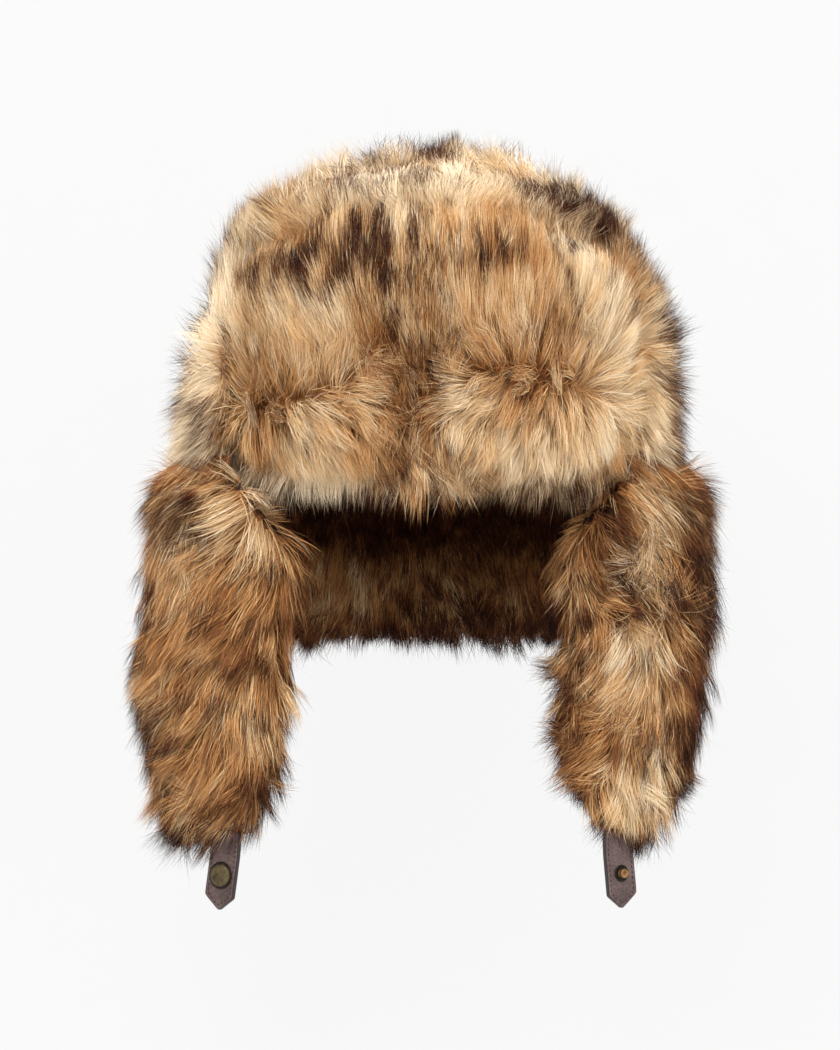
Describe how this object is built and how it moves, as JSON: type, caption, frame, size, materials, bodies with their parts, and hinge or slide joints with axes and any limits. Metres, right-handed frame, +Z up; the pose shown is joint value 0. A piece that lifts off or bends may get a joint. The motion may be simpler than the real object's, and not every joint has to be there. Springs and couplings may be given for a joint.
{
  "type": "trapper hat",
  "caption": "Faux-fur trapper hat with a turned-up brow flap, ear flaps that fold up, a neck flap, and leather chin tabs that close with a snap.",
  "frame": {"origin": "centre of the head opening, in the plane of the crown's lower edge", "axes": "as worn: +Z up, the brow faces -Y, +X is the wearer's left"},
  "size_m": [0.2925, 0.3229, 0.3898],
  "materials": {
    "faux_fur": "long pile, tan with dark brown tips",
    "satin_lining": "quilted satin",
    "wadding": "fibre wadding",
    "sweatband_tape": "matte twill tape",
    "backing_cloth": "knitted fur backing",
    "felt": "stiff felt",
    "leather": "dark brown, edge painted",
    "antique_brass": "antiqued"
  },
  "bodies": {
    "crown": {"crown_lining": "satin_lining", "crown_wadding": "wadding", "sweatband": "sweatband_tape", "crown_front_fur": "faux_fur", "crown_left_fur": "faux_fur", "crown_right_fur": "faux_fur", "crown_back_fur": "faux_fur", "brow_flap_fur": "faux_fur", "brow_flap_backing": "backing_cloth", "brow_flap_stiffener": "felt"},
    "left_ear_flap": {"left_flap_outer_fur": "faux_fur", "left_flap_inner_fur": "faux_fur", "left_flap_interlining": "felt", "left_tab_anchor": "leather"},
    "right_ear_flap": {"right_flap_outer_fur": "faux_fur", "right_flap_inner_fur": "faux_fur", "right_flap_interlining": "felt", "right_tab_anchor": "leather"},
    "neck_flap": {"neck_flap_outer_fur": "faux_fur", "neck_flap_inner_fur": "faux_fur", "neck_flap_interlining": "felt"},
    "left_chin_tab": {"left_tab_face": "leather", "left_tab_lining": "leather", "left_snap_stud": "antique_brass", "left_snap_post": "antique_brass"},
    "right_chin_tab": {"right_tab_face": "leather", "right_tab_lining": "leather", "right_snap_cap": "antique_brass", "right_snap_socket": "antique_brass"}
  },
  "joints": [
    {"name": "left_ear_flap_fold", "type": "hinge", "parent": "crown", "child": "left_ear_flap", "pos_m": [0.1272, 0, -0.012], "axis": [0, -1, 0], "range_deg": [-8, 135]},
    {"name": "right_ear_flap_fold", "type": "hinge", "parent": "crown", "child": "right_ear_flap", "pos_m": [-0.1272, 0, -0.012], "axis": [0, 1, 0], "range_deg": [-8, 135]},
    {"name": "neck_flap_fold", "type": "hinge", "parent": "crown", "child": "neck_flap", "pos_m": [0, 0.14956, -0.012], "axis": [1, 0, 0], "range_deg": [-6, 135]},
    {"name": "left_chin_tab_flex", "type": "hinge", "parent": "left_ear_flap", "child": "left_chin_tab", "pos_m": [0.09659, -0.0493, -0.18924], "axis": [-0.8259, -0.5592, -0.0723], "range_deg": [-60, 60]},
    {"name": "right_chin_tab_flex", "type": "hinge", "parent": "right_ear_flap", "child": "right_chin_tab", "pos_m": [-0.10435, -0.0493, -0.19041], "axis": [-0.8219, 0.5592, 0.1082], "range_deg": [-60, 60]}
  ]
}
